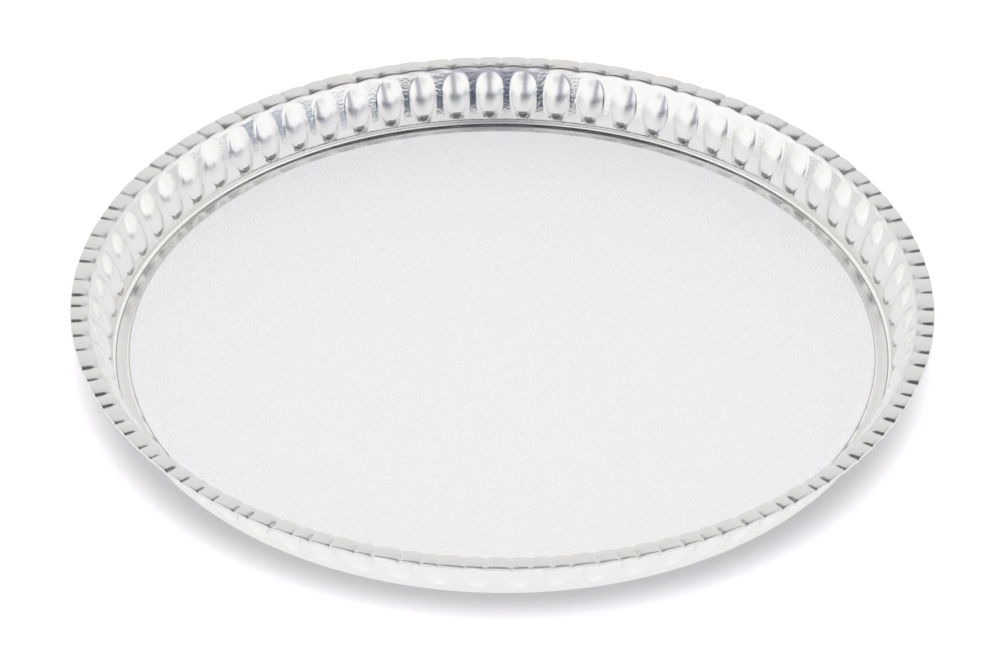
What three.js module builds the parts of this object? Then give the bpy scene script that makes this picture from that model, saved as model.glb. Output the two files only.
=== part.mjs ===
// Round disposable serving tray pressed from one disc of aluminium foil.
// Millimetres, +Z up. The origin is the centre of the circle that the tray rests on.
//
// The foil is a closed solid with a top skin and an under skin, one foil thickness apart.
// Both follow the same section, carried round the tray, with bosses pressed in from the
// outside of the wall and pleats crimped into the rim.

import * as THREE from "three";

// Rim and height
const RIM_RADIUS = 150;
const TRAY_HEIGHT = 22.5;
const FLANGE_WIDTH = 5.3;
const FLANGE_RISE = 0.5;
const RIM_FILLET = 0.9;
const LIP_DROP = 0.9;
const LIP_FLARE = 0.35;

// Floor, the step down to the ring that the tray rests on, and the foot of the wall
const FOOT_RADIUS = 136.4;
const FOOT_FILLET = 1.2;
const REST_RING_WIDTH = 3.6;
const STEP_WIDTH = 0.8;
const FLOOR_RISE = 0.7;

// Bosses round the wall
const BOSS_COUNT = 68;
const BOSS_DEPTH = 2.3;
const BOSS_GAP = 3.2;
const BOSS_MARGIN_BELOW = 2.1;
const BOSS_MARGIN_ABOVE = 1.3;
const WALL_BULGE = 0.35;

// Pleats crimped into the rim. They crowd together towards the front of the tray.
const PLEAT_COUNT = 110;
const PLEAT_DEPTH = 0.6;
const PLEAT_WIDTH = 1.7;
const PLEAT_CROWDING = 0.17;
const PLEAT_UNEVENNESS = 0.16;

const FOIL_THICKNESS = 0.1;

// Facets
const FLOOR_FACETS_PER_BOSS = 2;
const BOSS_COLUMNS = [-1, -0.45, 0.45, 1];
const BOSS_ROWS = [-1, -0.62, 0, 0.62, 1];
const BOSS_END_WIDTH = 0.3;

const TURN = 2 * Math.PI;

const foil = new THREE.MeshStandardMaterial({
  name: "bright_foil",
  color: 0xe4e4e2,
  roughness: 0.25,
  metalness: 1.0,
});

// A point of the section: radius and height.
function sectionPoint(radius, height) {
  return new THREE.Vector2(radius, height);
}

// The section of the under skin, from the middle of the floor to the edge of the lip.
function traySection() {
  const ringOuter = FOOT_RADIUS - FOOT_FILLET;
  const ringInner = ringOuter - REST_RING_WIDTH;
  const flangeOuter = RIM_RADIUS - LIP_FLARE;
  const flangeInner = flangeOuter - FLANGE_WIDTH;
  const wallTop = sectionPoint(flangeInner - RIM_FILLET, TRAY_HEIGHT - FLANGE_RISE - RIM_FILLET);
  const wallRun = wallTop.x - FOOT_RADIUS;
  const wallSlope = Math.atan2(wallTop.y - FOOT_FILLET, wallRun);
  const wallFoot = sectionPoint(FOOT_RADIUS + FOOT_FILLET * Math.cos(wallSlope), FOOT_FILLET);
  const footMiddle = sectionPoint(
    ringOuter + FOOT_FILLET * Math.sin(wallSlope / 2),
    FOOT_FILLET * (1 - Math.cos(wallSlope / 2)),
  );
  return {
    floorMiddle: sectionPoint(0, FLOOR_RISE),
    floorEdge: sectionPoint(ringInner - STEP_WIDTH, FLOOR_RISE),
    ringInner: sectionPoint(ringInner, 0),
    ringOuter: sectionPoint(ringOuter, 0),
    footMiddle,
    wallFoot,
    wallTop,
    flangeInner: sectionPoint(flangeInner, TRAY_HEIGHT - FLANGE_RISE),
    flangeOuter: sectionPoint(flangeOuter, TRAY_HEIGHT),
    lipEdge: sectionPoint(RIM_RADIUS, TRAY_HEIGHT - LIP_DROP),
  };
}

// Unit normal on the top side of the stretch from one section point to the next.
function stretchNormal(from, to) {
  return new THREE.Vector2(from.y - to.y, to.x - from.x).normalize();
}

// Offset of the top skin at a bend: it keeps the foil's thickness on both sides of it.
function mitre(before, after) {
  return before.clone().add(after).divideScalar(1 + before.dot(after));
}

function evenAngles(count) {
  return Array.from({ length: count }, (_, i) => (i * TURN) / count);
}

// Angle of the middle of each boss.
function bossAngle(boss) {
  return (boss * TURN) / BOSS_COUNT;
}

// Columns of one row across all bosses. The row narrows towards the boss's ends as an oval does.
function bossColumns(along, radius) {
  const pitch = TURN / BOSS_COUNT;
  const halfWidth = (pitch - BOSS_GAP / radius) / 2;
  const oval = Math.max(Math.sqrt(1 - along * along), BOSS_END_WIDTH);
  const columns = [];
  for (let boss = 0; boss < BOSS_COUNT; boss += 1) {
    for (const across of BOSS_COLUMNS) {
      columns.push({ angle: bossAngle(boss) + across * oval * halfWidth, across });
    }
  }
  return columns;
}

// Share of the full depth that a boss has at a place across and along it, both from -1 to 1.
// Its ridge is round across, and its lower end is fuller than its upper end.
function bossHeight(across, along) {
  const fullness = along < 0 ? 3 : 2.6;
  return Math.max(0, 1 - across * across) ** 0.8 * (1 - Math.abs(along) ** fullness);
}

// How far the wall bulges in between foot and rim, at a share of its length.
function wallBulge(share) {
  return WALL_BULGE * 4 * share * (1 - share);
}

// Repeatable uneven number from -1 to 1 for each pleat.
function unevenness(index) {
  const wave = Math.sin(index * 12.9898 + 4.1) * 43758.5453;
  return 2 * (wave - Math.floor(wave)) - 1;
}

// Angle of each pleat's crease: even steps, shifted a little and crowded towards the front.
function pleatAngle(index) {
  const even = ((index + PLEAT_UNEVENNESS * unevenness(index)) * TURN) / PLEAT_COUNT;
  return even - PLEAT_CROWDING * Math.cos(even);
}

// Two columns for each pleat: its crease, pressed down, and its shoulder, at full height.
function pleatColumns() {
  const columns = [];
  for (let index = 0; index < PLEAT_COUNT; index += 1) {
    const crease = pleatAngle(index);
    const room = (pleatAngle(index + 1) - crease) / 2;
    columns.push({ angle: crease, depth: PLEAT_DEPTH });
    columns.push({ angle: crease + Math.min(PLEAT_WIDTH / RIM_RADIUS, room), depth: 0 });
  }
  return columns;
}

// A ring of points on the under skin and the matching ring on the top skin.
function makeRing(angles, radius, height, offset, pressAt = () => [0, 0]) {
  const under = [];
  const top = [];
  angles.forEach((angle, index) => {
    const [pressRadius, pressHeight] = pressAt(index);
    for (const [skin, thickness] of [[under, 0], [top, FOIL_THICKNESS]]) {
      const r = radius + pressRadius + offset.x * thickness;
      const z = height + pressHeight + offset.y * thickness;
      skin.push([r * Math.cos(angle), r * Math.sin(angle), z]);
    }
  });
  return { angles, under, top };
}

// All rings from the floor's edge to the lip.
function trayRings() {
  const s = traySection();
  const path = [
    s.floorMiddle, s.floorEdge, s.ringInner, s.ringOuter, s.footMiddle,
    s.wallFoot, s.wallTop, s.flangeInner, s.flangeOuter, s.lipEdge,
  ];
  const normals = path.slice(1).map((point, i) => stretchNormal(path[i], point));
  const offsets = normals.map((normal, i) => mitre(normal, normals[i + 1] ?? normal));
  const plain = evenAngles(BOSS_COUNT * FLOOR_FACETS_PER_BOSS);
  const rings = [];
  for (let i = 1; i <= 5; i += 1) {
    rings.push(makeRing(plain, path[i].x, path[i].y, offsets[i - 1]));
  }

  const wall = new THREE.Vector2().subVectors(s.wallTop, s.wallFoot);
  const inward = normals[5];
  const bossLength = wall.length() - BOSS_MARGIN_BELOW - BOSS_MARGIN_ABOVE;
  for (const along of BOSS_ROWS) {
    const share = (BOSS_MARGIN_BELOW + ((1 + along) / 2) * bossLength) / wall.length();
    const place = s.wallFoot.clone().addScaledVector(wall, share);
    const columns = bossColumns(along, place.x);
    const press = (index) => {
      const depth = BOSS_DEPTH * bossHeight(columns[index].across, along) + wallBulge(share);
      return [inward.x * depth, inward.y * depth];
    };
    rings.push(makeRing(columns.map((c) => c.angle), place.x, place.y, inward, press));
  }

  const columns = pleatColumns();
  const pleats = columns.map((c) => c.angle);
  for (const [i, share] of [[6, 0], [7, 0], [8, 1], [9, 1]]) {
    const press = (index) => [0, -share * columns[index].depth];
    rings.push(makeRing(pleats, path[i].x, path[i].y, offsets[i - 1], press));
  }
  return rings;
}

// Triangles between two rings of any two counts, as a zip that always takes the nearer tooth.
// Each triangle is three pairs of ring, 0 inner or 1 outer, and place in the ring.
function zipRings(inner, outer) {
  const triangles = [];
  const a = inner.angles;
  const b = outer.angles;
  const start = nearestTo(a[0], b);
  const aAt = (i) => a[i % a.length] + TURN * Math.floor(i / a.length);
  const bAt = (j) => b[j % b.length] + TURN * Math.floor(j / b.length);
  const turnShift = Math.round((bAt(start) - aAt(0)) / TURN) * TURN;
  let i = 0;
  let j = 0;
  while (i < a.length || j < b.length) {
    const diagonalIfInner = Math.abs(aAt(i + 1) - (bAt(start + j) - turnShift));
    const diagonalIfOuter = Math.abs(bAt(start + j + 1) - turnShift - aAt(i));
    const stepInner = j === b.length || (i < a.length && diagonalIfInner < diagonalIfOuter);
    const here = [0, i % a.length];
    const there = [1, (start + j) % b.length];
    if (stepInner) {
      triangles.push([here, there, [0, (i + 1) % a.length]]);
      i += 1;
    } else {
      triangles.push([here, there, [1, (start + j + 1) % b.length]]);
      j += 1;
    }
  }
  return triangles;
}

// Place in a list of angles of the one that lies nearest to a given angle.
function nearestTo(angle, angles) {
  const gap = (other) => Math.abs(Math.atan2(Math.sin(other - angle), Math.cos(other - angle)));
  let best = 0;
  angles.forEach((other, index) => {
    if (gap(other) < gap(angles[best])) best = index;
  });
  return best;
}

// The whole tray as one closed skin of triangles.
function trayGeometry() {
  const rings = trayRings();
  const positions = [];
  const indices = [];
  const addPoints = (points) => {
    const first = positions.length / 3;
    points.forEach((point) => positions.push(...point));
    return first;
  };
  const topStarts = rings.map((ring) => addPoints(ring.top));
  const underStarts = rings.map((ring) => addPoints(ring.under));

  for (let k = 0; k + 1 < rings.length; k += 1) {
    for (const triangle of zipRings(rings[k], rings[k + 1])) {
      const onTop = triangle.map(([ring, place]) => topStarts[k + ring] + place);
      const onUnder = triangle.map(([ring, place]) => underStarts[k + ring] + place);
      indices.push(...onTop, ...onUnder.reverse());
    }
  }

  const floorRing = rings[0];
  const middleTop = addPoints([[0, 0, FLOOR_RISE + FOIL_THICKNESS]]);
  const middleUnder = addPoints([[0, 0, FLOOR_RISE]]);
  for (let i = 0; i < floorRing.angles.length; i += 1) {
    const next = (i + 1) % floorRing.angles.length;
    indices.push(middleTop, topStarts[0] + i, topStarts[0] + next);
    indices.push(middleUnder, underStarts[0] + next, underStarts[0] + i);
  }

  const last = rings.length - 1;
  const lipCount = rings[last].angles.length;
  for (let i = 0; i < lipCount; i += 1) {
    const next = (i + 1) % lipCount;
    indices.push(underStarts[last] + i, underStarts[last] + next, topStarts[last] + next);
    indices.push(underStarts[last] + i, topStarts[last] + next, topStarts[last] + i);
  }

  const geometry = new THREE.BufferGeometry();
  geometry.setAttribute("position", new THREE.Float32BufferAttribute(positions, 3));
  geometry.setIndex(indices);
  geometry.computeVertexNormals();
  return geometry;
}

const object = new THREE.Group();
const tray = new THREE.Mesh(trayGeometry(), foil);
tray.name = "tray";
object.add(tray);

export default object;
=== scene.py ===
import math
import bpy
import numpy as np
from mathutils import Matrix, Vector


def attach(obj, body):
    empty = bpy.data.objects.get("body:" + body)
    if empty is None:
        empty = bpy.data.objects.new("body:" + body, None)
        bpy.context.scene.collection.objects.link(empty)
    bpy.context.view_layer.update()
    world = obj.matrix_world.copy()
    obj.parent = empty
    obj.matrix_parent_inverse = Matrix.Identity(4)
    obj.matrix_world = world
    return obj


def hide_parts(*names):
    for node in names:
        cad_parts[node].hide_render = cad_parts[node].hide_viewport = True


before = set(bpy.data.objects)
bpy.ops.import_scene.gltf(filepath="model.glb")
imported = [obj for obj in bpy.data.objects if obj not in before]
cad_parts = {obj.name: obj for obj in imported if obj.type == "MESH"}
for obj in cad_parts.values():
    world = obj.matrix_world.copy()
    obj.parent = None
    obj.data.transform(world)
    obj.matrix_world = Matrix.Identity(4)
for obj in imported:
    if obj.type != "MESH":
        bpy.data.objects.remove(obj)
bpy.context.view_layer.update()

MM = 0.001
TURN = 2 * math.pi

# Rim and height
RIM_RADIUS = 150 * MM
TRAY_HEIGHT = 22.5 * MM
FLANGE_WIDTH = 5.3 * MM
FLANGE_RISE = 0.5 * MM
RIM_FILLET = 0.9 * MM
RIM_ROUNDING = 0.9 * MM
LIP_DROP = 0.9 * MM
LIP_FLARE = 0.35 * MM
LIP_ROUNDING = 0.25 * MM
LIP_TUCK = 0.25 * MM
FOIL_THICKNESS = 0.1 * MM

# Floor, the step down to the ring that the tray rests on, and the foot of the wall
FOOT_RADIUS = 136.4 * MM
FOOT_FILLET = 1.2 * MM
FOOT_ROUNDING = 1.7 * MM
REST_RING_WIDTH = 3.6 * MM
STEP_WIDTH = 0.8 * MM
STEP_ROUNDING = 0.3 * MM
FLOOR_RISE = 0.7 * MM
FLOOR_EDGE_WIDTH = 3.2 * MM

# Bosses round the wall. The two ends are the powers p and q of (1 - |along|^p)^q.
BOSS_COUNT = 68
BOSS_DEPTH = 2.3 * MM
BOSS_GAP = 3.2 * MM
BOSS_MARGIN_BELOW = 2.1 * MM
BOSS_MARGIN_ABOVE = 1.3 * MM
BOSS_RIDGE_POWER = 0.8
BOSS_LOWER_END = (3.4, 1.0)
BOSS_UPPER_END = (2.0, 1.5)
BOSS_END_WIDTH = 0.12
BOSS_UNEVENNESS = 0.06
WALL_BULGE = 0.7 * MM
BULGE_LOWNESS = 0.6

# Oval of painted dark reflection at a boss's lower end: half width, middle and half length, in
# shares of the boss
PAINTED_REFLECTION_OVAL = (0.85, -0.88, 0.14)

# Pleats crimped into the rim. They crowd together towards the front of the tray.
PLEAT_COUNT = 110
PLEAT_DEPTH = 0.6 * MM
PLEAT_HALF_WIDTH = 0.8 * MM
PLEAT_SAG = 0.25 * MM
SAG_HALF_WIDTH = 3.0 * MM
PLEAT_CROWDING = 0.17
PLEAT_UNEVENNESS = 0.16
PLEAT_DEPTH_UNEVENNESS = 0.45

# Share of the flange's width at which the grooves start, and over which they deepen
GROOVE_START = 0.1
GROOVE_DEEPENING = 0.35

# Scallops at the flange's inner edge: how deep each row of the rim dips, from the bend outwards
SCALLOP_DEPTH = 0.55 * MM
SCALLOP_HALF_WIDTH = 2.1 * MM
SCALLOP_UNEVENNESS = 0.3
SCALLOP_ROWS = (1, 1, 1, 1, 1, 1, 0.57, 0.15)

# Waves of the lip's lower edge: how many round the tray, where they start, and their share
LIP_WAVES = ((37, 1.0, 1.0), (61, 2.0, 0.8), (97, 0.5, 0.6))
LIP_WAVE_HEIGHT = 0.25 * MM

# Starting numbers of the repeatable unevenness
BOSS_SEED = 2.3
PLEAT_PLACE_SEED = 4.1
PLEAT_DEPTH_SEED = 7.7
SCALLOP_SEED = 3.1

# Grid of the foil's surface. Rows are placed by their share of the stretch that they divide.
FLOOR_COLUMNS = BOSS_COUNT * 4
BOSS_INSIDE_COLUMNS = 12
BOSS_GAP_COLUMNS = 4
BOSS_ROWS = 16
PLEAT_COLUMNS = 10
PLEAT_CLOSENESS = 0.75
SMALL_ARC_STEPS = 3
LARGE_ARC_STEPS = 5
RING_SHARES = (0.5,)
MARGIN_SHARES = (0.35, 0.7)
FLANGE_SHARES = (0.14, 0.28, 0.42, 0.58, 0.78)
LIP_SHARES = (0.6,)

# Zones of the foil, each with a finish of its own
# One zone is a painted dark reflection: a dark grey colour in place of dark things that the foil
# reflects.
FLOOR, BRIGHT, SATIN, PAINTED_DARK_REFLECTION, CRINKLED, RING_INSIDE, RING_OUTSIDE = range(7)

# Zone of each strip from the floor's edge, over the step and the ring, to the foot's arc
# The dark strips on the step's arc and at the start of the foot's arc are painted dark reflection
# lines.
FLOOR_STRIPS = (
    (FLOOR,) + (PAINTED_DARK_REFLECTION,) * SMALL_ARC_STEPS + (BRIGHT,) + (BRIGHT,) * SMALL_ARC_STEPS
    + (RING_INSIDE, RING_OUTSIDE) + (PAINTED_DARK_REFLECTION,) + (BRIGHT,) * (LARGE_ARC_STEPS - 1)
)

# Finish of each zone: name, colour, scale of the grain, roughness from and to, height of the
# grain, share of metal, and how the grain is stretched
EVEN = (1, 1, 1)
FINISHES = (
    ("embossed_floor_foil", (0.612, 0.612, 0.626), 1100, (0.36, 0.46), 0.5 * MM, 0.25, (1, 0.4, 1)),
    ("bright_wall_foil", (0.98, 0.975, 0.96), 500, (0.2, 0.28), 0.01 * MM, 1.0, EVEN),
    ("satin_rim_foil", (0.82, 0.815, 0.805), 300, (0.3, 0.36), 0.001 * MM, 1.0, EVEN),
    # Dark grey painted reflection, along the step, the foot and the bosses' lower ends, standing in
    # for reflected dark things.
    ("foil_with_painted_dark_reflection", (0.42, 0.42, 0.43), 500, (0.25, 0.35), 0.004 * MM, 1.0, EVEN),
    ("crinkled_foil", (0.95, 0.945, 0.935), 1000, (0.08, 0.16), 0.07 * MM, 1.0, EVEN),
    ("satin_ring_foil", (0.7, 0.697, 0.69), 300, (0.22, 0.3), 0.002 * MM, 0.8, EVEN),
    ("bright_ring_foil", (0.8, 0.795, 0.785), 300, (0.14, 0.22), 0.002 * MM, 1.0, EVEN),
)

# Camera, as fitted to the photograph: angles in degrees, distances in units of the rim's radius
CAMERA_TURN = -2.2
CAMERA_ELEVATION = 36.75
CAMERA_DISTANCE = 8.213
CAMERA_ROLL = 0.40
CAMERA_LOOK_AT = (-0.0054, 0.0153, 0.0241)
FOCAL_LENGTH = 126.0
SENSOR_WIDTH = 36.0

# Studio floor: how bright and how even the foil reflects it, and the distances from the tray
# between which it fades into plain white
STUDIO_FLOOR_HALF = 6.0
STUDIO_FLOOR_COLOR = (0.97, 0.945, 0.985)
FLOOR_REFLECTED = 0.97
FLOOR_EVENNESS = 0.8
FLOOR_FADE = (0.35, 0.9)

# Cards, which only show in what the foil reflects. Those that stand upright on an arc have a
# name, azimuths from and to, distance, lower and upper edge, and colour.
OVERHEAD_CARD_HALF = 0.68
OVERHEAD_CARD_HEIGHT = 1.0
OVERHEAD_CARD_COLOR = (0.05, 0.055, 0.06)
CARD_POINTS = 13
CURVED_CARDS = (
    ("back_card", (5, 175), 1.6, (0.05, 2.6), (0.94, 0.93, 0.92)),
    ("front_card", (249, 302), 1.5, (0.0, 0.32), (0.02, 0.04, 0.09)),
    ("side_card", (302, 350), 1.5, (0.06, 0.2), (0.14, 0.19, 0.32)),
    ("photographer_card", (260, 286), 1.5, (0.32, 2.4), (0.42, 0.42, 0.49)),
)

# Light: the surroundings as they light the scene and as they are seen, and the lamp
WORLD_LIGHT = 0.5
WORLD_SEEN = 1.0
LAMP_SIZE = 1.6
LAMP_POWER = 22.0
LAMP_PLACE = (0.0, -0.12, 1.15)


# Section of the tray

def corner_arc(before, corner, after, radius, steps):
    """Round a corner of the section: the arc of the given radius that touches both sides,
    as steps + 1 points at even angles."""
    before, corner, after = (np.asarray(p, float) for p in (before, corner, after))
    into = (corner - before) / np.linalg.norm(corner - before)
    out = (after - corner) / np.linalg.norm(after - corner)
    turn = math.atan2(into[0] * out[1] - into[1] * out[0], into @ out)
    side = np.array([-into[1], into[0]]) * math.copysign(1.0, turn)
    start = corner - into * radius * math.tan(abs(turn) / 2)
    sweep = np.linspace(0, abs(turn), steps + 1)[:, None]
    return start + radius * (into * np.sin(sweep) + side * (1 - np.cos(sweep)))


def stretch(start, end, shares):
    """Points at the given shares of a straight stretch of the section."""
    share = np.asarray(shares, float)[:, None]
    return np.asarray(start) * (1 - share) + np.asarray(end) * share


def meeting_point(a, b, c, d):
    """Where the line through a and b meets the line through c and d."""
    a, b, c, d = (np.asarray(p, float) for p in (a, b, c, d))
    across = np.array([b - a, c - d]).T
    return a + (b - a) * np.linalg.solve(across, c - a)[0]


def section():
    """The under skin's section in three zones: the floor's edge with the ring and the foot,
    the straight wall, and the rim. Each is an array of radius and height."""
    ring_outer = FOOT_RADIUS - FOOT_FILLET
    ring_inner = ring_outer - REST_RING_WIDTH
    flange_outer = RIM_RADIUS - LIP_FLARE
    flange_inner = flange_outer - FLANGE_WIDTH
    flange_height = TRAY_HEIGHT - FLANGE_RISE
    wall_top = np.array([flange_inner - RIM_FILLET, flange_height - RIM_FILLET])
    slope = math.atan2(wall_top[1] - FOOT_FILLET, wall_top[0] - FOOT_RADIUS)
    wall_foot = np.array([FOOT_RADIUS + FOOT_FILLET * math.cos(slope), FOOT_FILLET])
    flange = ((flange_inner, flange_height), (flange_outer, TRAY_HEIGHT))
    rim_corner = meeting_point(wall_foot, wall_top, *flange)
    foot_corner = meeting_point(wall_foot, wall_top, (0, 0), (1, 0))

    step_top = (ring_inner - STEP_WIDTH, FLOOR_RISE)
    step_foot = (ring_inner, 0)
    inner_edge = (step_top[0] - FLOOR_EDGE_WIDTH, FLOOR_RISE)
    step_arc = corner_arc(inner_edge, step_top, step_foot, STEP_ROUNDING, SMALL_ARC_STEPS)
    ring_start = corner_arc(step_top, step_foot, foot_corner, STEP_ROUNDING, SMALL_ARC_STEPS)
    foot_arc = corner_arc(step_foot, foot_corner, wall_top, FOOT_ROUNDING, LARGE_ARC_STEPS)
    ring = stretch(ring_start[-1], foot_arc[0], RING_SHARES)
    floor = np.vstack([[inner_edge], step_arc, ring_start, ring, foot_arc])

    rim_arc = corner_arc(wall_foot, rim_corner, flange[1], RIM_ROUNDING, LARGE_ARC_STEPS)
    lip_edge = (RIM_RADIUS, TRAY_HEIGHT - LIP_DROP)
    tucked_edge = (RIM_RADIUS - LIP_TUCK, TRAY_HEIGHT - LIP_DROP)
    rim = np.vstack([
        rim_arc,
        stretch(rim_arc[-1], flange[1], FLANGE_SHARES),
        corner_arc(flange[0], flange[1], lip_edge, LIP_ROUNDING, SMALL_ARC_STEPS),
        stretch(flange[1], lip_edge, LIP_SHARES),
        [tucked_edge],
    ])
    wall = np.vstack([floor[-1], rim_arc[0]])
    return floor, wall, rim


def top_side(points):
    """Unit normals on the top side of a section, averaged over the stretches at each point."""
    along = np.diff(points, axis=0)
    along /= np.linalg.norm(along, axis=1)[:, None]
    along = np.vstack([along[:1], along, along[-1:]])
    mean = along[:-1] + along[1:]
    mean /= np.linalg.norm(mean, axis=1)[:, None]
    return np.stack([-mean[:, 1], mean[:, 0]], axis=-1)


# Surface of the foil

def uneven(index, seed):
    """Repeatable uneven numbers from -1 to 1, one for each whole number: what is left after
    the point of a sine of the number, made very large."""
    wave = np.sin(index * 12.9898 + seed) * 43758.5453
    return 2 * (wave - np.floor(wave)) - 1


def ring_points(angle, radius, height):
    """Points of one skin from arrays of angle, radius and height of the same shape."""
    return np.stack([radius * np.cos(angle), radius * np.sin(angle), height], axis=-1)


def both_skins(angle, section_rows, normals, press, press_normals):
    """The under and the top skin: the section carried round the tray, pressed in by press
    along press_normals, and the top skin one foil thickness off along the section's normals."""
    radius = section_rows[:, None, 0] + press * press_normals[:, None, 0]
    height = section_rows[:, None, 1] + press * press_normals[:, None, 1]
    under = ring_points(angle, radius, height)
    top = ring_points(
        angle,
        radius + FOIL_THICKNESS * normals[:, None, 0],
        height + FOIL_THICKNESS * normals[:, None, 1],
    )
    return under, top


def floor_skins(floor):
    """Floor edge, rest ring and foot of the wall: the plain section on even angles."""
    angle = np.arange(FLOOR_COLUMNS) * TURN / FLOOR_COLUMNS
    angle = np.broadcast_to(angle, (len(floor), FLOOR_COLUMNS))
    normals = top_side(floor)
    under, top = both_skins(angle, floor, normals, np.zeros_like(angle), normals)
    return angle, under, top


def boss_columns():
    """Places across one boss and the gap after it: from -1 to 1 inside the boss, closer
    together at its edges, and from 1 to 3 across the gap."""
    inside = np.sin(np.linspace(-1, 1, BOSS_INSIDE_COLUMNS + 1) * math.pi / 2)
    gap = 1 + 2 * np.arange(1, BOSS_GAP_COLUMNS) / BOSS_GAP_COLUMNS
    return np.concatenate([inside, gap])


def boss_rows():
    """Places along a boss, from -1 at its lower end to 1, closer together at the ends."""
    return np.sin(np.linspace(-1, 1, BOSS_ROWS + 1) * math.pi / 2)


def wall_skins(wall):
    """Wall with its bosses. On a boss the foil is pressed in by depth times a rounded ridge,
    (1 - across^2)^0.8, and a rounded end, (1 - |along|^p)^q, fuller below than above. The
    columns draw in towards its ends as an oval does, so that its outline is a clean edge.
    The foil between the bosses bulges in by 4 up (1 - up) times WALL_BULGE, where up is the
    share of the wall's height to a power below 1, so most in its lower part."""
    length = np.linalg.norm(wall[1] - wall[0])
    boss_length = length - BOSS_MARGIN_BELOW - BOSS_MARGIN_ABOVE
    along = boss_rows()
    climb = BOSS_MARGIN_BELOW + (1 + along) / 2 * boss_length
    climb = np.concatenate([np.array(MARGIN_SHARES) * BOSS_MARGIN_BELOW, climb])
    along = np.concatenate([np.full(len(MARGIN_SHARES), -1.0), along])
    rows = wall[0] + (wall[1] - wall[0]) * (climb / length)[:, None]
    normals = np.repeat(top_side(wall)[:1], len(rows), axis=0)

    place = boss_columns()
    across = np.tile(place, BOSS_COUNT)
    boss = np.repeat(np.arange(BOSS_COUNT), len(place))
    pitch = TURN / BOSS_COUNT
    half = (pitch - BOSS_GAP / rows[:, 0]) / 2
    oval = np.maximum(np.sqrt(1 - along ** 2), BOSS_END_WIDTH)
    reach = (half * oval)[:, None]
    inside = np.clip(across, -1, 1)
    gap_share = np.clip((across - 1) / 2, 0, 1)
    angle = boss * pitch + inside * reach + gap_share * (pitch - 2 * reach)

    depth = BOSS_DEPTH * (1 + BOSS_UNEVENNESS * uneven(boss, BOSS_SEED))
    ridge = (1 - inside ** 2) ** BOSS_RIDGE_POWER
    lower_end = (1 - np.abs(along) ** BOSS_LOWER_END[0]) ** BOSS_LOWER_END[1]
    upper_end = (1 - np.abs(along) ** BOSS_UPPER_END[0]) ** BOSS_UPPER_END[1]
    ends = np.where(along < 0, lower_end, upper_end)
    boss_share = ridge * ends[:, None] * (across <= 1)
    up = (climb / length) ** BULGE_LOWNESS
    bulge = WALL_BULGE * 4 * up * (1 - up)
    press = depth * boss_share + bulge[:, None] * (1 - boss_share)
    under, top = both_skins(angle, rows, normals, press, normals)
    return angle, under, top


def pleat_place(index):
    """Where each pleat's crease lies, as an angle before the crowding."""
    shift = PLEAT_UNEVENNESS * uneven(index % PLEAT_COUNT, PLEAT_PLACE_SEED)
    return (index + shift) * TURN / PLEAT_COUNT


def pleat_columns():
    """Each column of the rim: its angle, the pleat it is nearest to, and how far off that
    pleat's crease it is at the rim's edge. The columns gather at the creases."""
    index = np.repeat(np.arange(PLEAT_COUNT), PLEAT_COLUMNS)
    share = np.tile(np.arange(PLEAT_COLUMNS) / PLEAT_COLUMNS, PLEAT_COUNT)
    eased = share - PLEAT_CLOSENESS * np.sin(TURN * share) / TURN
    here = pleat_place(index)
    room = pleat_place(index + 1) - here
    even = here + eased * room
    angle = even - PLEAT_CROWDING * np.cos(even)
    nearest = np.where(eased < 0.5, index, index + 1) % PLEAT_COUNT
    off = np.where(eased < 0.5, eased, 1 - eased) * room * RIM_RADIUS
    return angle, nearest, off


def rim_skins(rim):
    """Rim with its pleats. Each pleat is a groove pressed down, which starts part of the
    way out across the flange: depth times 3 g^2 - 2 g^3, where g falls from 1 at the crease
    to 0 at the groove's edge. The flange sags on both sides of it and its inner edge dips in
    a scallop, both as exp(-(off / half width)^2). Waves lift the lip's lower edge."""
    angle, nearest, off = pleat_columns()
    angle = np.broadcast_to(angle, (len(rim), len(angle)))
    strength = 1 + PLEAT_DEPTH_UNEVENNESS * uneven(nearest, PLEAT_DEPTH_SEED)
    groove = np.clip(1 - off / PLEAT_HALF_WIDTH, 0, 1)
    groove = (PLEAT_DEPTH - PLEAT_SAG) * strength * groove ** 2 * (3 - 2 * groove)
    sag = PLEAT_SAG * strength * np.exp(-((off / SAG_HALF_WIDTH) ** 2))
    scallop = SCALLOP_DEPTH * (1 + SCALLOP_UNEVENNESS * uneven(nearest, SCALLOP_SEED))
    scallop = scallop * np.exp(-((off / SCALLOP_HALF_WIDTH) ** 2))

    flange_start = rim[LARGE_ARC_STEPS, 0]
    out = (rim[:, 0] - flange_start) / (RIM_RADIUS - flange_start)
    fade = np.clip((out - GROOVE_START) / GROOVE_DEEPENING, 0, 1)[:, None]
    sagging = np.clip(out, 0, 1)[:, None]
    dip = np.zeros((len(rim), 1))
    dip[:len(SCALLOP_ROWS), 0] = SCALLOP_ROWS
    press = -(groove * fade + sag * sagging + scallop * dip)
    wave = sum(share * np.sin(count * angle[0] + start) for count, start, share in LIP_WAVES)
    press[-2:] += LIP_WAVE_HEIGHT * np.clip(wave, 0, None) * np.array([[0.5], [1.0]])
    normals = top_side(rim)
    down = np.repeat([[0.0, 1.0]], len(rim), axis=0)
    under, top = both_skins(angle, rim, normals, press, down)
    return angle, under, top


# Zones of the faces

def floor_marks():
    """Zone of each face of the floor's edge, the ring and the foot."""
    return np.repeat(FLOOR_STRIPS, FLOOR_COLUMNS)


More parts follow.
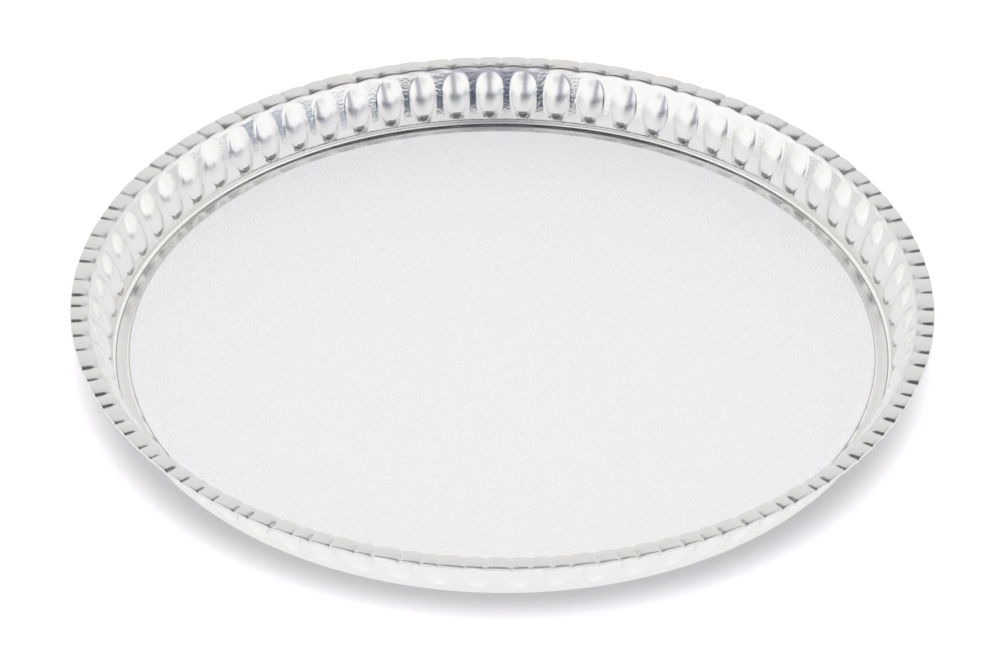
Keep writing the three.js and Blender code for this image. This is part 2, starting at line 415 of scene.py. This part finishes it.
def wall_marks(is_top):
    """Zone of each face of the wall. On the top skin the foil between the bosses is crinkled,
    and each boss has an oval of painted dark reflection at its lower end."""
    place = np.append(boss_columns(), 3)
    across = (place[:-1] + place[1:]) / 2
    along = boss_rows()
    below = np.full(len(MARGIN_SHARES), -2.0)
    along = np.concatenate([below, (along[:-1] + along[1:]) / 2])[:, None]
    half_width, middle, half_length = PAINTED_REFLECTION_OVAL
    # The oval at a boss's lower end is a painted dark reflection.
    painted_oval = (across / half_width) ** 2 + ((along - middle) / half_length) ** 2 < 1
    mark = np.where(across > 1, CRINKLED, np.where(painted_oval, PAINTED_DARK_REFLECTION, BRIGHT))
    if not is_top:
        mark = np.full_like(mark, BRIGHT)
    return np.tile(mark, (1, BOSS_COUNT)).reshape(-1)


# Meshes from grids

def grid_faces(first, rows, columns):
    """Four-sided faces of a grid that closes on itself round the tray."""
    row = np.arange(rows - 1)[:, None] * columns + first
    here = np.arange(columns)[None, :]
    after = (here + 1) % columns
    corners = [row + here, row + columns + here, row + columns + after, row + after]
    return np.stack(corners, axis=-1).reshape(-1, 4)


def zip_faces(inner_angles, outer_angles, inner_first, outer_first):
    """Triangles between two rings of different counts. All points of both rings are put in
    order of angle, and each one makes a triangle with the last point passed on each ring."""
    inner_order = np.argsort(inner_angles % TURN)
    outer_order = np.argsort(outer_angles % TURN)
    angles = np.concatenate([inner_angles[inner_order], outer_angles[outer_order]]) % TURN
    from_inner = np.arange(len(angles)) < len(inner_angles)
    order = np.argsort(angles, kind="stable")
    from_inner = from_inner[order]
    passed_inner = np.cumsum(from_inner) - from_inner - 1
    passed_outer = np.cumsum(~from_inner) - (~from_inner) - 1
    last_inner = inner_first + inner_order[passed_inner % len(inner_order)]
    last_outer = outer_first + outer_order[passed_outer % len(outer_order)]
    next_inner = inner_first + inner_order[(passed_inner + 1) % len(inner_order)]
    next_outer = outer_first + outer_order[(passed_outer + 1) % len(outer_order)]
    new = np.where(from_inner, next_inner, next_outer)
    return np.stack([last_inner, last_outer, new], axis=-1)


def skin_faces(zones, firsts, middle, is_top):
    """Faces of one skin and the zone of each: a fan in the middle of the floor, the three
    grids, and the seams that zip them together. The under skin's faces look down."""
    first, _, columns = firsts[0]
    here = np.arange(columns)
    fan = np.stack([np.full(columns, middle), first + here, first + (here + 1) % columns], -1)
    faces = [fan] + [grid_faces(*place) for place in firsts]
    marks = [np.full(len(fan), FLOOR), floor_marks(), wall_marks(is_top)]
    marks.append(np.full(len(faces[-1]), SATIN))
    for lower in (0, 1):
        (first, rows, columns), (above, _, _) = firsts[lower], firsts[lower + 1]
        last_row = first + (rows - 1) * columns
        seam = zip_faces(zones[lower][0][-1], zones[lower + 1][0][0], last_row, above)
        faces.append(seam)
        marks.append(np.full(len(seam), BRIGHT))
    if not is_top:
        faces = [group[:, ::-1] for group in faces]
    return faces, marks


def foil_mesh():
    """The whole tray as one closed mesh: both skins and a strip along the lip. Returns the
    points, the faces in groups with the same number of corners, and the zone of each face."""
    floor, wall, rim = section()
    zones = [floor_skins(floor), wall_skins(wall), rim_skins(rim)]
    middles = np.array([[0, 0, FLOOR_RISE], [0, 0, FLOOR_RISE + FOIL_THICKNESS]])
    points = [middles]
    count = len(middles)
    faces = []
    marks = []
    lips = []
    for skin in (0, 1):
        firsts = []
        for zone in zones:
            rows, columns = zone[0].shape
            firsts.append((count, rows, columns))
            points.append(zone[1 + skin].reshape(-1, 3))
            count += rows * columns
        new_faces, new_marks = skin_faces(zones, firsts, skin, skin == 1)
        faces += new_faces
        marks += new_marks
        first, rows, columns = firsts[-1]
        lips.append(first + (rows - 1) * columns + np.arange(columns))
    under, top = lips
    lip = np.stack([under, np.roll(under, -1), np.roll(top, -1), top], axis=-1)
    faces.append(lip)
    marks.append(np.full(len(lip), SATIN))
    return np.concatenate(points), faces, np.concatenate(marks)


def make_mesh_object(name, points, face_groups, marks, materials):
    """A mesh object from points and groups of faces with the same number of corners each."""
    mesh = bpy.data.meshes.new(name)
    faces = [face for group in face_groups for face in group.tolist()]
    mesh.from_pydata(points.tolist(), [], faces)
    for material in materials:
        mesh.materials.append(material)
    mesh.polygons.foreach_set("material_index", marks.astype(np.int32))
    mesh.polygons.foreach_set("use_smooth", np.ones(len(faces), bool))
    mesh.validate()
    mesh.update()
    made = bpy.data.objects.new(name, mesh)
    bpy.context.collection.objects.link(made)
    return made


# Materials

def new_material(name):
    """A material with its node tree and its Principled BSDF."""
    material = bpy.data.materials.new(name)
    material.use_nodes = True
    return material, material.node_tree, material.node_tree.nodes["Principled BSDF"]


def math_node(tree, operation, first, second):
    """The result of a Math node on a socket and another socket or a number."""
    node = tree.nodes.new("ShaderNodeMath")
    node.operation = operation
    tree.links.new(first, node.inputs[0])
    if isinstance(second, float):
        node.inputs[1].default_value = second
    else:
        tree.links.new(second, node.inputs[1])
    return node.outputs[0]


def mix_node(tree, share, first, second):
    """Mixes the second shader into the first one by a share, and gives the result."""
    mixed = tree.nodes.new("ShaderNodeMixShader")
    for place, socket in enumerate((share, first, second)):
        tree.links.new(socket, mixed.inputs[place])
    return mixed.outputs["Shader"]


def glow_node(tree, color, strength):
    """An emission shader."""
    glow = tree.nodes.new("ShaderNodeEmission")
    glow.inputs["Color"].default_value = (*color, 1)
    glow.inputs["Strength"].default_value = strength
    return glow.outputs["Emission"]


def foil_grain_group():
    """Fine unevenness of pressed foil: a height and a roughness that change over the surface."""
    group = bpy.data.node_groups.new("foil grain", "ShaderNodeTree")
    socket = group.interface.new_socket
    socket("Scale", in_out="INPUT", socket_type="NodeSocketFloat")
    socket("Roughness low", in_out="INPUT", socket_type="NodeSocketFloat")
    socket("Roughness high", in_out="INPUT", socket_type="NodeSocketFloat")
    socket("Stretch", in_out="INPUT", socket_type="NodeSocketVector")
    socket("Height", in_out="OUTPUT", socket_type="NodeSocketFloat")
    socket("Roughness", in_out="OUTPUT", socket_type="NodeSocketFloat")
    nodes, links = group.nodes, group.links
    inputs = nodes.new("NodeGroupInput")
    outputs = nodes.new("NodeGroupOutput")
    place = nodes.new("ShaderNodeTexCoord")
    fine = nodes.new("ShaderNodeTexNoise")
    fine.inputs["Detail"].default_value = 3
    stretched = nodes.new("ShaderNodeVectorMath")
    stretched.operation = "MULTIPLY"
    links.new(place.outputs["Object"], stretched.inputs[0])
    links.new(inputs.outputs["Stretch"], stretched.inputs[1])
    links.new(stretched.outputs["Vector"], fine.inputs["Vector"])
    links.new(inputs.outputs["Scale"], fine.inputs["Scale"])
    spread = nodes.new("ShaderNodeMapRange")
    links.new(fine.outputs["Fac"], spread.inputs["Value"])
    links.new(inputs.outputs["Roughness low"], spread.inputs["To Min"])
    links.new(inputs.outputs["Roughness high"], spread.inputs["To Max"])
    links.new(fine.outputs["Fac"], outputs.inputs["Height"])
    links.new(spread.outputs["Result"], outputs.inputs["Roughness"])
    return group


def foil_material(grain, name, color, scale, roughness, relief_height, metallic, grain_stretch):
    """Aluminium with the foil's grain in its roughness and normal."""
    material, tree, surface = new_material(name)
    nodes, links = tree.nodes, tree.links
    surface.inputs["Base Color"].default_value = (*color, 1)
    surface.inputs["Metallic"].default_value = metallic
    texture = nodes.new("ShaderNodeGroup")
    texture.node_tree = grain
    texture.inputs["Scale"].default_value = scale
    texture.inputs["Roughness low"].default_value = roughness[0]
    texture.inputs["Roughness high"].default_value = roughness[1]
    texture.inputs["Stretch"].default_value = grain_stretch
    links.new(texture.outputs["Roughness"], surface.inputs["Roughness"])
    relief = nodes.new("ShaderNodeBump")
    relief.inputs["Strength"].default_value = 1.0
    relief.inputs["Distance"].default_value = relief_height
    links.new(texture.outputs["Height"], relief.inputs["Height"])
    links.new(relief.outputs["Normal"], surface.inputs["Normal"])
    return material


def make_tray():
    """The tray: one mesh with a finish for each zone."""
    grain = foil_grain_group()
    materials = [foil_material(grain, *finish) for finish in FINISHES]
    points, faces, marks = foil_mesh()
    tray = make_mesh_object("pressed_foil_tray", points, faces, marks, materials)
    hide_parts("tray")
    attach(tray, "root")


# Studio

def make_camera():
    """Camera where the photograph was taken from, looking at the middle of the tray."""
    elevation = math.radians(CAMERA_ELEVATION)
    roll = math.radians(CAMERA_ROLL)
    back = Vector((0, -math.cos(elevation), math.sin(elevation)))
    level = Vector((1, 0, 0))
    upright = back.cross(level)
    right = level * math.cos(roll) + upright * math.sin(roll)
    up = upright * math.cos(roll) - level * math.sin(roll)
    data = bpy.data.cameras.new("camera")
    data.lens = FOCAL_LENGTH
    data.sensor_width = SENSOR_WIDTH
    camera = bpy.data.objects.new("camera", data)
    turn = Matrix((right, up, back)).transposed().to_4x4()
    place = (Vector(CAMERA_LOOK_AT) + back * CAMERA_DISTANCE) * RIM_RADIUS
    round_tray = Matrix.Rotation(math.radians(CAMERA_TURN), 4, "Z")
    camera.matrix_world = round_tray @ Matrix.Translation(place) @ turn
    bpy.context.collection.objects.link(camera)
    bpy.context.scene.camera = camera


def make_floor():
    """Plain white floor: a flat square that keeps the tray's shadow and fades into the
    white background further away."""
    half = STUDIO_FLOOR_HALF
    corners = [(-half, -half, 0), (half, -half, 0), (half, half, 0), (-half, half, 0)]
    mesh = bpy.data.meshes.new("floor")
    mesh.from_pydata(corners, [], [(0, 1, 2, 3)])
    material, tree, surface = new_material("white_floor")
    nodes, links = tree.nodes, tree.links
    surface.inputs["Base Color"].default_value = (*STUDIO_FLOOR_COLOR, 1)
    surface.inputs["Roughness"].default_value = 1.0
    surface.inputs["Specular IOR Level"].default_value = 0.0
    path = nodes.new("ShaderNodeLightPath")
    reflected = math_node(tree, "MULTIPLY", path.outputs["Is Glossy Ray"], FLOOR_EVENNESS)
    even = glow_node(tree, (1, 1, 1), FLOOR_REFLECTED)
    near = mix_node(tree, reflected, surface.outputs["BSDF"], even)
    place = nodes.new("ShaderNodeTexCoord")
    away = nodes.new("ShaderNodeVectorMath")
    away.operation = "LENGTH"
    links.new(place.outputs["Object"], away.inputs[0])
    fade = nodes.new("ShaderNodeMapRange")
    fade.interpolation_type = "SMOOTHSTEP"
    fade.inputs["From Min"].default_value = FLOOR_FADE[0]
    fade.inputs["From Max"].default_value = FLOOR_FADE[1]
    links.new(away.outputs["Value"], fade.inputs["Value"])
    seen = math_node(tree, "MULTIPLY", fade.outputs["Result"], path.outputs["Is Camera Ray"])
    far = mix_node(tree, seen, near, glow_node(tree, (1, 1, 1), 1.0))
    links.new(far, nodes["Material Output"].inputs["Surface"])
    mesh.materials.append(material)
    floor = bpy.data.objects.new("floor", mesh)
    bpy.context.collection.objects.link(floor)


def make_card(name, points, color):
    """A studio card that only shows in what the foil reflects. Its points go along one edge
    and back along the other."""
    half = len(points) // 2
    last = len(points) - 1
    faces = [(i, i + 1, last - i - 1, last - i) for i in range(half - 1)]
    mesh = bpy.data.meshes.new(name)
    mesh.from_pydata(points, [], faces)
    material, tree, _ = new_material(name)
    tree.links.new(glow_node(tree, color, 1.0), tree.nodes["Material Output"].inputs["Surface"])
    mesh.materials.append(material)
    card = bpy.data.objects.new(name, mesh)
    bpy.context.collection.objects.link(card)
    card.visible_camera = False
    card.visible_diffuse = False
    card.visible_shadow = False


def make_curved_card(name, azimuths, distance, edges, color):
    """A card that stands upright on an arc round the tray, as the camera sees the tray."""
    sweep = np.radians(np.linspace(*azimuths, CARD_POINTS) + CAMERA_TURN)
    ends = [(distance * math.cos(a), distance * math.sin(a)) for a in sweep]
    lower = [(x, y, edges[0]) for x, y in ends]
    upper = [(x, y, edges[1]) for x, y in ends]
    make_card(name, lower + upper[::-1], color)


def make_cards():
    """A dark card overhead, a pale one behind the tray, dark-blue ones in front of it, and a
    grey one on top of them where the photographer stands."""
    half, height = OVERHEAD_CARD_HALF, OVERHEAD_CARD_HEIGHT
    front = [(-half, -half, height), (half, -half, height)]
    back = [(half, half, height), (-half, half, height)]
    make_card("overhead_card", front + back, OVERHEAD_CARD_COLOR)
    for card in CURVED_CARDS:
        make_curved_card(*card)


def make_light():
    """Even white surroundings, which the camera and the foil see at full strength, and one
    large soft lamp overhead, which makes the tray's shadow."""
    world = bpy.data.worlds.new("studio")
    bpy.context.scene.world = world
    world.use_nodes = True
    tree = world.node_tree
    background = tree.nodes["Background"]
    background.inputs["Color"].default_value = (1, 1, 1, 1)
    path = tree.nodes.new("ShaderNodeLightPath")
    seen = math_node(tree, "MAXIMUM", path.outputs["Is Camera Ray"], path.outputs["Is Glossy Ray"])
    seen = math_node(tree, "MAXIMUM", seen, path.outputs["Is Transmission Ray"])
    strength = tree.nodes.new("ShaderNodeMapRange")
    strength.inputs["To Min"].default_value = WORLD_LIGHT
    strength.inputs["To Max"].default_value = WORLD_SEEN
    tree.links.new(seen, strength.inputs["Value"])
    tree.links.new(strength.outputs["Result"], background.inputs["Strength"])

    data = bpy.data.lights.new("overhead_lamp", "AREA")
    data.shape = "DISK"
    data.size = LAMP_SIZE
    data.energy = LAMP_POWER
    lamp = bpy.data.objects.new("overhead_lamp", data)
    lamp.location = LAMP_PLACE
    lamp.rotation_mode = "QUATERNION"
    lamp.rotation_quaternion = Vector(LAMP_PLACE).to_track_quat("Z", "Y")
    lamp.visible_glossy = False
    bpy.context.collection.objects.link(lamp)


make_camera()
make_tray()
make_floor()
make_cards()
make_light()
bpy.context.scene.view_settings.view_transform = "Standard"
